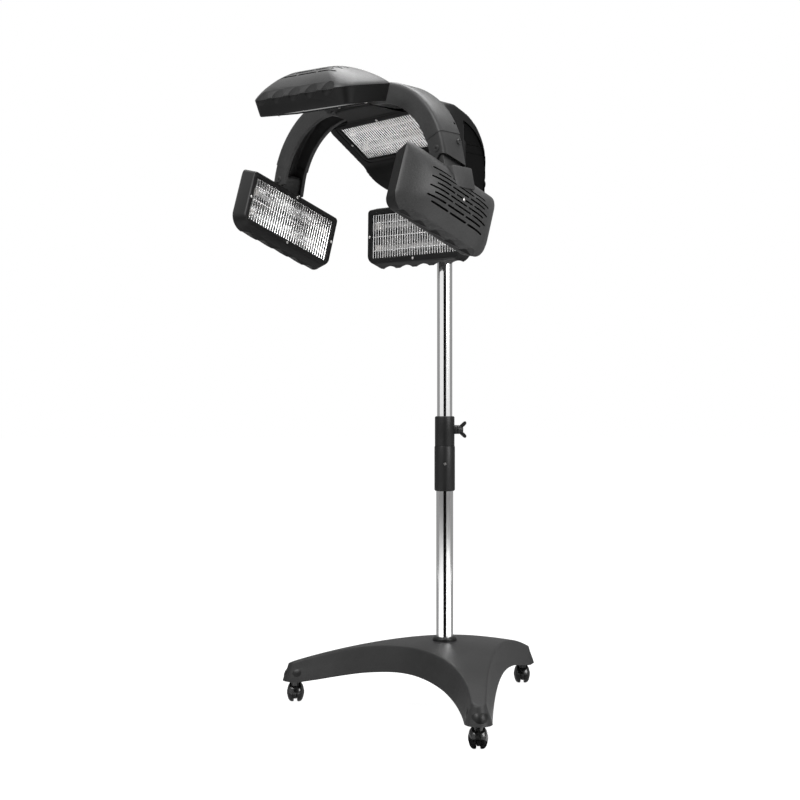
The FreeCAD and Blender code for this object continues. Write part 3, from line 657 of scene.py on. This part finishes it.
def arch_form(name):
    """Arch, sleeve, knuckle and pin caps of a side arm, in the neck's frame."""
    middle = (ARM_BEND, 0, 0)
    seam = 9.0
    arch = swept(channel(0, 0), (middle, 90 - ARM_LEAN + 2, 44))
    below = block(-60, 60, -60, 60, -200, 0)
    move(below, at(ARM_BEND) @ turn(seam, "Y") @ at(-ARM_BEND))
    arch = carved(arch, below)
    sleeve = swept(channel(1.1, -70), ((0, 0, 70), 3), (middle, seam + 1.5, 5))
    lamp = neck_place(name).inverted() @ lamp_place(name)
    rear_end = SLEEVE_END + 9
    room = plate([(60, -90), (60, SLEEVE_END), (-26, SLEEVE_END), (-34, rear_end), (-130, rear_end), (-130, -90)],
                 -170, 170, "Y")
    move(room, lamp)
    panel = block(-ARM_T / 2 - 4, 2.2 - ARM_T / 2, -ARM_W / 2 + 5, ARM_W / 2 - 5, -90, 22, 0)
    inner = block(-ARM_T / 2 - 4, 2.3 - ARM_T / 2, -ARM_W / 2 + 6.2, ARM_W / 2 - 6.2, -90, 20.8, 0)
    frame_cut = carved(panel, inner)
    rib_room = block(5 - ARM_T / 2, 12, -11, 11, -90, 16)
    sleeve = carved(sleeve, room, frame_cut, rib_room)
    root = neck_place(name).inverted() @ arm_place(name)
    barrel = rounded(rod(ROOT_R, (0, -ARM_W / 2, ARM_BEND), (0, ARM_W / 2, ARM_BEND), 48), 2, 60)
    move(barrel, root)
    boss = lathe([(0, 0), (6, 0), (6, 1.6), (5.2, 2.4), (3.4, 2.4), (3.0, 1.4), (0, 1.4)], 32, "X")
    move(boss, at(0.6 - ARM_T / 2, -ARM_W / 2 + 15, 12) @ turn(-90, "X") @ turn(180, "Z"))
    caps = []
    for side in (-1, 1):
        cap = lathe([(0, 0), (7, 0), (7, 0.8), (6.2, 1.4), (2.6, 1.4), (2.2, 0.8), (0, 0.8)], 32, "X")
        move(cap, at(0, side * (ARM_W / 2 - 1.2), 0) @ turn(90 * side, "Z"))
        caps.append(cap)
    # The hole's wall takes the second slot: painted shade black inside it.
    hole = tint(rod(2.6, (-60, 0, 0), (6 - ARM_T / 2, 0, 0), 20), 1)
    move(hole, at(ARM_BEND) @ turn(16, "Y") @ at(-ARM_BEND) @ at(0, -ARM_W / 2 + 10, 0))
    return join(carved(arch, hole), sleeve, barrel, boss, *caps)


for name in ("left", "right"):
    piece("arch_" + name, arch_form(name), [cover_lit_charcoal, painted_shade_black], "arm_" + name,
          UNIT @ neck_place(name), ["arm_" + name])


def short_arm_form(name, length, spread):
    """Hollow box arm that carries the front or the rear lamp, in the neck's frame."""
    w, t = ARM_W, NECKS[name][1]
    wide, deep = w + spread, t + spread / 4
    tube = shell_of([(w - 8, t - 8, 2, -19), (w - 1.5, t - 1.5, 11, -20), (w, t, 12, -19), (w, t, 12, 12),
                     (wide, deep, 13, length), (wide - 8, deep - 8, 4, length), (w - 8, t - 8, 2, 12)],
                    closed=True)
    move(tube, turn(-90, "Y"))
    return tube


# ---- head body ----------------------------------------------------------------------------
def mirrored(points):
    """An outline given for y from its first point, with its mirror image."""
    return points + [(a, -b) for a, b in reversed(points)]


def hub_body(plan):
    """Arched side view, plan and bowl-like front view, met and rubbed round."""
    side = (bow((292, 1322), (140, 1356), (0, 1334), 20) + bow((0, 1334), (-48, 1305), (-80, 1220), 16)[1:]
            + [(-76, 1150)] + bow((30, 1150), (84, 1179), (105, 1219), 12) + [(224, 1292), (288, 1298)])
    rim, keel = bow((0.01, 1358), (80, 1331), (158, 1284), 12), bow((160, 1240), (134, 1188), (64, 1148), 12)
    view = [(-y, z) for y, z in reversed(rim + keel)] + rim + keel
    body = plate(side, -200, 200, "Y")
    body = carved(body, plate(mirrored(plan), 1100, 1500), operation="INTERSECT")
    body = carved(body, plate(view, -200, 400, "X"), operation="INTERSECT")
    return softened(body, 2.8, 14)


def bay_tools(name):
    """Room for a side arm's root: round about the pin and open to the side."""
    half, z, r = ARM_W / 2 + 5, ARM_BEND, ROOT_R + 2
    low = z - ROOT_R - 3.5
    way = plate([(0, low), (-60, low - 14), (-100, low - 38), (-200, low - 170), (-200, z + 120), (0, z + 120)],
                -half, half, "Y")
    tools = [rod(r, (0, -half, z), (0, half, z), 48), way, block(0, ROOT_R + 5.5, -half, half, z - 16, z + 11)]
    for tool in tools:
        move(tool, arm_place(name))
    return tools


def hub_parts():
    """Lower and upper half of the head body, with their openings, side panels and seam."""
    nose = bow((206, 152), (268, 84), (296, 0.01), 12)
    halves = [hub_body([(-100, 54)] + bow((0, 54), (72, 74), (136, 144), 14) + nose),
              hub_body([(-100, 54)] + bow((-14, 54), (40, 92), (104, 152), 14) + nose)]
    opening = shell_of([(260, 120, 14, -20), (260, 120, 14, 40)])
    move(opening, lamp_place("crown"))
    tools = bay_tools("left") + bay_tools("right") + [opening, rod(19, (0, 0, 1100), (0, 0, 1200), 48)]
    for name, reach in (("front", 34), ("rear", 70)):
        thick = NECKS[name][1] / 2 - 5
        way = block(-thick, thick, 5 - ARM_W / 2, ARM_W / 2 - 5, 6, reach)
        move(way, neck_place(name))
        tools.append(way)
    well = rod(NECK_T / 2 + 4, (0, -34, 0), (0, 34, 0), 32)
    move(well, neck_place("rear"))
    for side in (-1, 1):
        panel = ([(-2, 1166), (-2, 1312)] + bow((-8, 1310), (-52, 1283), (-79, 1214), 12)
                 + [(-74, 1160), (-40, 1158)])
        y0, y1 = sorted((side * 49.5, side * 90))
        # The recessed side panels and the groove below them take the second slot: painted shade black.
        tools.append(tint(plate(panel, y0, y1, "Y"), 1))
        tools.append(tint(block(-78, -2, *sorted((side * 48.3, side * 60)), 1243, 1244.4), 1))
    tools.append(well)
    seam = [(-200, 1262), (60, 1262), (160, 1284), (216, 1290), (330, 1290)]
    below = plate([(x, z + 0.45) for x, z in seam] + [(330, 1000), (-200, 1000)], -300, 300, "Y")
    above = plate([(x, z - 0.45) for x, z in seam] + [(330, 1500), (-200, 1500)], -300, 300, "Y")
    return [carved(half, limit, *[tool.copy() for tool in tools])
            for half, limit in zip(halves, (below, above))]


for name, length, spread in (("front", 27, 0), ("rear", 60, 60)):
    piece("link_" + name, short_arm_form(name, length, spread), charcoal, "head",
          UNIT @ neck_place(name), ["arm_" + name])
for name, form in zip(("upper", "lower"), hub_parts()):
    # The head body takes the darker copy of the moulding, which is painted shade.
    piece("hood_" + name, form, [hub_shaded_charcoal, painted_shade_black], "head", UNIT,
          ["hub_" + name], smooth=38)
# The base ballast takes the painted shade moulding.
BARE_NODES = {"control_panel": charcoal, "power_switch": caster_black, "base_ballast": painted_shade_black,
              "foot_screws": zinc, "sleeve_screw": zinc}
for node in ("pole_socket", "cable_gland", "timer_knob", "tube_plug", "root_bracket_left", "root_bracket_right",
             "root_pin_left", "root_pin_right", "tilt_pin_left", "tilt_pin_right", "tilt_pin_front",
             "tilt_pin_rear"):
    BARE_NODES[node] = satin_black
for node, material in BARE_NODES.items():
    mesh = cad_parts[node].data
    mesh.materials.clear()
    mesh.materials.append(material)


# ---- pole ---------------------------------------------------------------------------------
LOWER_R, UPPER_R, TUBE_WALL = 19, 17, 1.5
SLEEVE_LOW, SLEEVE_JOINT, KNOB_Z = 491, 591, 628


def tube_form(radius, wall, z0, z1):
    """Plain tube with its outer edges broken."""
    lip = 0.5
    return lathe([(radius - wall, z0), (radius - lip, z0), (radius, z0 + lip), (radius, z1 - lip),
                  (radius - lip, z1), (radius - wall, z1)], 96)


piece("chrome_lower", tube_form(LOWER_R, TUBE_WALL, 104, 640), chrome, "base", nodes=["lower_tube"])
piece("chrome_upper", tube_form(UPPER_R, TUBE_WALL, 400, 1262), chrome, "pole", nodes=["upper_tube"])
collar = [(LOWER_R, 154), (27, 154), (27, 161), (26.6, 162.6), (25.6, 163.8), (22.6, 165.6), (21.5, 166),
          (LOWER_R, 166)]
piece("collar", lathe(collar, 72), satin_black, "base", nodes=["pole_collar"])
sleeve = [(LOWER_R, SLEEVE_LOW), (20.4, SLEEVE_LOW), (20.9, 491.2), (22.8, 493.6), (23, 494.4), (23, 589.4),
          (22.4, 590.9), (LOWER_R, SLEEVE_JOINT)]
piece("sleeve_low", lathe(sleeve, 72), satin_black, "base", nodes=["clamp_sleeve_lower"])
upper = lathe([(17.05, 655), (17.05, 641), (LOWER_R, 640), (LOWER_R, SLEEVE_JOINT), (21.4, SLEEVE_JOINT), (22, 592),
               (22, 655), (21.6, 656.4), (19.5, 658), (18, 658)], 72)
boss = rounded(carved(rod(10, (18.9, 0, KNOB_Z), (28, 0, KNOB_Z), 40), rod(4.1, (0, 0, KNOB_Z), (60, 0, KNOB_Z), 24)),
               0.7, 60)
piece("sleeve_high", join(upper, boss), satin_black, "base", nodes=["clamp_sleeve_upper"])


def knob_form():
    """Wing knob on its stud: a waisted hub and two flared, dished wings."""
    x0 = 28.4
    hub = lathe([(0, 0), (9.6, 0), (10, 0.5), (10, 2.6), (9, 5), (7.6, 8), (7, 11), (6.2, 12.4), (4.5, 13),
                 (0, 13.2)], 40, "X")
    move(hub, at(x0, 0, KNOB_Z))
    outline = [(1, -6), (1, 6), (6, 10.5), (12, 16), (15, 18.4), (18, 18.6), (20, 16.6), (20, 12.6), (16, 8),
               (10.5, 4), (9.5, 0), (10.5, -4), (16, -8), (20, -12.6), (20, -16.6), (18, -18.6), (15, -18.4),
               (12, -16), (6, -10.5)]
    wings = plate([(x0 + x, KNOB_Z + z) for x, z in outline], -3, 3, "Y")
    rounded(wings, 1.3, 60, 3)
    stud = tint(rod(4, (17.2, 0, KNOB_Z), (x0 + 3, 0, KNOB_Z), 20), 1)
    return join(hub, wings, stud)


piece("wing_knob", knob_form(), [satin_black, zinc], "knob", nodes=["clamp_knob"])


# ---- foot ---------------------------------------------------------------------------------
HEADINGS, WAISTS, REACH = {"right": 55.0, "left": 167.0, "front": 279.0}, (124.0, 112.0, 134.0), 350.0
POLE_BORE, TOE_R, FOOT_WALL = 19.3, 28, 4
TRAIL, WHEEL_R = 14, 22


def top_height(r):
    """Crowned top of the foot at a radius: an arc through the hub, mid leg and toe."""
    rise = [(10, 158.0), (200, 136.0), (420, 70.0)]
    total = 0.0
    for i, (ri, zi) in enumerate(rise):
        part = zi
        for j, (rj, _) in enumerate(rise):
            if j != i:
                part *= (r - rj) / (ri - rj)
        total += part
    return total


def arch_height(r):
    """Height of the foot's lower edge at a radius."""
    steps = [(0, 104), (90, 100), (190, 82), (290, 60), (335, 52), (600, 52)]
    for (r0, z0), (r1, z1) in zip(steps, steps[1:]):
        if r <= r1:
            return z0 + (z1 - z0) * (r - r0) / (r1 - r0)
    return 52.0


def arc_between(bm, start, middle, end, steps):
    """Edges of the arc through three points, spun about its centre."""
    a, b, c = (Vector((p.x, p.y, 0)) for p in (start, middle, end))
    ab, ac = b - a, c - a
    d = 2 * (ab.x * ac.y - ab.y * ac.x)
    centre = a + Vector(((ac.y * ab.length_squared - ab.y * ac.length_squared) / d,
                         (ab.x * ac.length_squared - ac.x * ab.length_squared) / d, 0))
    sweep = (c - centre).xy.angle_signed((a - centre).xy) % math.tau
    through = (b - centre).xy.angle_signed((a - centre).xy) % math.tau
    if through > sweep:
        sweep -= math.tau
    v = bm.verts.new(start)
    bmesh.ops.spin(bm, geom=[v], cent=(centre.x, centre.y, start.z), axis=(0, 0, 1), angle=sweep, steps=steps)


def star_loop(bm, grow, z):
    """Outline of the three-legged foot: round toes joined by concave arcs."""
    before = set(bm.edges)
    toes = []
    for a in HEADINGS.values():
        u = Vector((math.cos(math.radians(a)), math.sin(math.radians(a)), 0))
        n, mid, r = Vector((-u.y, u.x, 0)), u * REACH + Vector((0, 0, z)), TOE_R + grow
        toes.append((mid - n * r, mid + u * r, mid + n * r, a))
    for i, (right, tip, left, a) in enumerate(toes):
        after = toes[(i + 1) % 3]
        m = math.radians(a + ((after[3] - a) % 360) / 2)
        waist = WAISTS[i] + grow
        arc_between(bm, right, tip, left, 14)
        arc_between(bm, left, Vector((math.cos(m) * waist, math.sin(m) * waist, z)), after[0], 36)
    edges = [e for e in bm.edges if e not in before]
    verts = list({v for e in edges for v in e.verts})
    bmesh.ops.remove_doubles(bm, verts=verts, dist=0.02)
    return [e for e in bm.edges if e not in before and e.is_valid]


def foot_form():
    """Foot casting: crowned top, rolled shoulder, sloping sides and a hollow underside."""
    bm = bmesh.new()
    levels = [(0.5, 0.0), (-0.5, 0.1), (-3.0, 0.3), (-6.6, 0.52), (-9.8, 0.74), (-11.6, 0.9), (-12.6, 0.965),
              (-14.2, 0.995), (-17.0, 1.0)]
    loops = [star_loop(bm, grow, 100.0 + i) for i, (grow, _) in enumerate(levels)]
    skin(bm, loops)
    bmesh.ops.contextual_create(bm, geom=loops[-1])
    share = bm.verts.layers.float.new("share")
    for v in bm.verts:
        v[share] = levels[min(range(len(levels)), key=lambda i: abs(v.co.z - 100 - i))][1]
    for axis, low, high in (((1, 0, 0), -380, 260), ((0, 1, 0), -380, 330)):
        for step in range(low, high, 22):
            bmesh.ops.bisect_plane(bm, geom=bm.verts[:] + bm.edges[:] + bm.faces[:], dist=0.001,
                                   plane_co=tuple(step * c for c in axis), plane_no=axis)
    for v in bm.verts:
        r, s = v.co.xy.length, v[share]
        v.co.z = arch_height(r) + (top_height(r) - arch_height(r)) * s
    bmesh.ops.recalc_face_normals(bm, faces=bm.faces)
    bmesh.ops.solidify(bm, geom=bm.faces[:], thickness=FOOT_WALL)
    bmesh.ops.recalc_face_normals(bm, faces=bm.faces)
    return carved(bm, rod(POLE_BORE, (0, 0, 90), (0, 0, 200), 72))


def toe_form(heading):
    """Smooth oval cap over the end of a leg."""
    toe = bmesh.new()
    bmesh.ops.create_uvsphere(toe, u_segments=48, v_segments=28, radius=1.0,
                              matrix=at(343, 0, 63) @ turn(14, "Y") @ Matrix.Diagonal((34, 24.5, 27, 1)))
    toe = carved(toe, block(200, 500, -60, 60, 0, 52.5), block(377.5, 500, -60, 60, 0, 200))
    move(toe, turn(heading, "Z"))
    return toe


piece("foot_casting", foot_form(), foot_charcoal, "base", nodes=["base_shell"], smooth=50)
piece("toe_caps", join(*[toe_form(heading) for heading in HEADINGS.values()]), toe_black, "base")


# ---- casters ------------------------------------------------------------------------------
def wheel_form(side):
    """Nylon wheel: narrow tread, domed face with a hub button."""
    w = lathe([(0, 0), (20.6, 0), (21.6, 0.5), (WHEEL_R, 1.6), (WHEEL_R, 4.6), (21.3, 7.2), (19.4, 9.6), (16.2, 11.9),
               (12, 13.5), (8.6, 14.2), (7.6, 13.7), (7, 13.9), (6.2, 15), (3.4, 15.5), (0, 15.6)], 64, "X")
    if side < 0:
        move(w, turn(180, "Z"))
    move(w, at(side * 4.4, TRAIL, WHEEL_R))
    return w


def hood_form():
    """Fender and fork: a rounded hood over both wheels, a centre web and the swivel stem."""
    shell = lathe([(23, -12.5), (24.4, -13), (26, -9), (26.8, -4), (27, 0), (26.8, 4), (26, 9), (24.4, 13),
                   (23, 12.5)], 72, "X")
    move(shell, at(0, TRAIL, WHEEL_R))
    shell = carved(shell, block(-60, 60, -60, 60, -60, 24), block(-60, 60, 30, 90, -60, 90))
    web = rod(23.4, (-3.9, TRAIL, WHEEL_R), (3.9, TRAIL, WHEEL_R), 64)
    web = carved(web, block(-60, 60, -60, 90, -60, 10))
    stem = join(rod(9, (0, 0, 40), (0, 0, 51.4), 40), rod(5.5, (0, 0, 50), (0, 0, 84), 32),
                rod(4.8, (0, 0, 36), (0, 0, 42), 24))
    return join(rounded(shell, 0.6, 60), rounded(web, 0.6, 60), stem)


for side, heading in HEADINGS.items():
    a = math.radians(heading)
    place = at(REACH * math.cos(a), REACH * math.sin(a), 0)
    axle = rod(2.5, (-19, TRAIL, WHEEL_R), (19, TRAIL, WHEEL_R), 16)
    piece("twin_wheels_" + side, join(wheel_form(1), wheel_form(-1), axle), caster_black, "wheels_" + side,
          place, ["caster_wheels_" + side])
    piece("caster_fork_" + side, hood_form(), caster_black, "caster_" + side, place,
          ["caster_hood_" + side], smooth=45)


# ---- stage --------------------------------------------------------------------------------
WORLD_LIGHT, FLOOR_GLOW, FLOOR_SHARE = 0.20, 1.22, 0.80


def seen_directly(tree, others=("Is Glossy Ray", "Is Transmission Ray")):
    """1 for what the lens and the other kinds of ray look at, 0 for what only lights."""
    path = tree.nodes.new("ShaderNodeLightPath")
    out = path.outputs["Is Camera Ray"]
    for name in others:
        both = tree.nodes.new("ShaderNodeMath")
        both.operation = "MAXIMUM"
        tree.links.new(out, both.inputs[0])
        tree.links.new(path.outputs[name], both.inputs[1])
        out = both.outputs[0]
    return out


def mixed(tree, factor, a, b, target):
    """Two shaders blended by a factor into a target socket."""
    mix = tree.nodes.new("ShaderNodeMixShader")
    tree.links.new(factor, mix.inputs[0])
    tree.links.new(a.outputs[0], mix.inputs[1])
    tree.links.new(b.outputs[0], mix.inputs[2])
    tree.links.new(mix.outputs[0], target)


world = bpy.data.worlds.new("studio")
world.use_nodes = True
scene.world = world
sky = world.node_tree
sky_light, sky_seen = sky.nodes["Background"], sky.nodes.new("ShaderNodeBackground")
for background, strength in ((sky_light, WORLD_LIGHT), (sky_seen, 1.0)):
    background.inputs["Color"].default_value = (1, 1, 1, 1)
    background.inputs["Strength"].default_value = strength
mixed(sky, seen_directly(sky), sky_light, sky_seen, sky.nodes["World Output"].inputs["Surface"])

floor_paint = bpy.data.materials.new("floor_paint")
floor_paint.use_nodes = True
paint = floor_paint.node_tree
matt = paint.nodes["Principled BSDF"]
matt.inputs["Base Color"].default_value, matt.inputs["Roughness"].default_value = (0.9, 0.9, 0.9, 1), 0.9
glow = paint.nodes.new("ShaderNodeEmission")
glow.inputs["Strength"].default_value = FLOOR_GLOW
share = paint.nodes.new("ShaderNodeMath")
share.operation = "MULTIPLY"
share.inputs[1].default_value = FLOOR_SHARE
paint.links.new(seen_directly(paint, ()), share.inputs[0])
mixed(paint, share.outputs[0], matt, glow, paint.nodes["Material Output"].inputs["Surface"])
floor_mesh = bpy.data.meshes.new("floor")
ground = bmesh.new()
bmesh.ops.create_grid(ground, x_segments=1, y_segments=1, size=30)
ground.to_mesh(floor_mesh)
ground.free()
floor_mesh.materials.append(floor_paint)
floor = bpy.data.objects.new("floor", floor_mesh)
scene.collection.objects.link(floor)


def soft_box(name, place, aim, size, watts):
    """Rectangular studio light aimed at a point."""
    data = bpy.data.lights.new(name, "AREA")
    data.shape, data.size, data.size_y, data.energy = "RECTANGLE", size[0], size[1], watts
    light = bpy.data.objects.new(name, data)
    scene.collection.objects.link(light)
    light.location = place
    light.rotation_euler = (Vector(aim) - Vector(place)).to_track_quat("-Z", "Y").to_euler()


soft_box("key", (-1.7, -2.0, 3.0), (0, 0, 1.0), (1.3, 1.3), 90)
soft_box("fill", (2.3, -2.2, 1.9), (0, 0, 0.9), (1.4, 1.8), 85)
soft_box("top", (0.1, 0.3, 3.4), (0, 0, 0.4), (2.0, 2.0), 110)


def card(name, outlines, level):
    """A flag for reflections alone: faces of one plain tone that no lens or shadow meets."""
    mesh, form = bpy.data.meshes.new(name), bmesh.new()
    for outline in outlines:
        form.faces.new([form.verts.new(point) for point in outline])
    form.to_mesh(mesh)
    form.free()
    tone = bpy.data.materials.new(name)
    tone.use_nodes = True
    shader = tone.node_tree.nodes["Principled BSDF"]
    shader.inputs["Base Color"].default_value = (0.004, 0.004, 0.004, 1)
    shader.inputs["Specular IOR Level"].default_value = 0.0
    shader.inputs["Emission Color"].default_value = (1, 1, 1, 1)
    shader.inputs["Emission Strength"].default_value = level
    mesh.materials.append(tone)
    made = bpy.data.objects.new(name, mesh)
    scene.collection.objects.link(made)
    made.visible_camera = made.visible_diffuse = made.visible_shadow = False
    made.visible_transmission = made.visible_volume_scatter = False


near, far, wall, low, grey_level = -0.16, -3.3, 3.0, 0.004, 0.34
card("dark_card", [[(-1.2, far, 0.0), (1.2, far, 0.0), (1.2, far, wall), (-1.2, far, wall)],
                   [(-0.05, near, low), (0.05, near, low), (1.2, far, low), (-1.2, far, low)]], 0.0)
corners = [(-2.6, -0.4), (-2.2, 1.8), (2.2, 1.8), (2.6, -0.4)]
ground = [[(-2.2, 0.03, low), (2.2, 0.03, low), (2.2, 1.8, low), (-2.2, 1.8, low)]]
walls = [[(x0, y0, low), (x1, y1, low), (x1, y1, wall), (x0, y0, wall)]
         for (x0, y0), (x1, y1) in zip(corners, corners[1:])]
card("grey_card", ground + walls, grey_level)

scene.view_settings.view_transform = "Standard"
camera_data = bpy.data.cameras.new("camera")
camera = bpy.data.objects.new("camera", camera_data)
scene.collection.objects.link(camera)
camera.location = (-0.100, -2.9083, 0.6673)
camera.rotation_euler = (math.radians(90), 0, 0)
camera_data.sensor_width, camera_data.lens = 36.0, 58.5
camera_data.shift_y = 0.015
scene.camera = camera
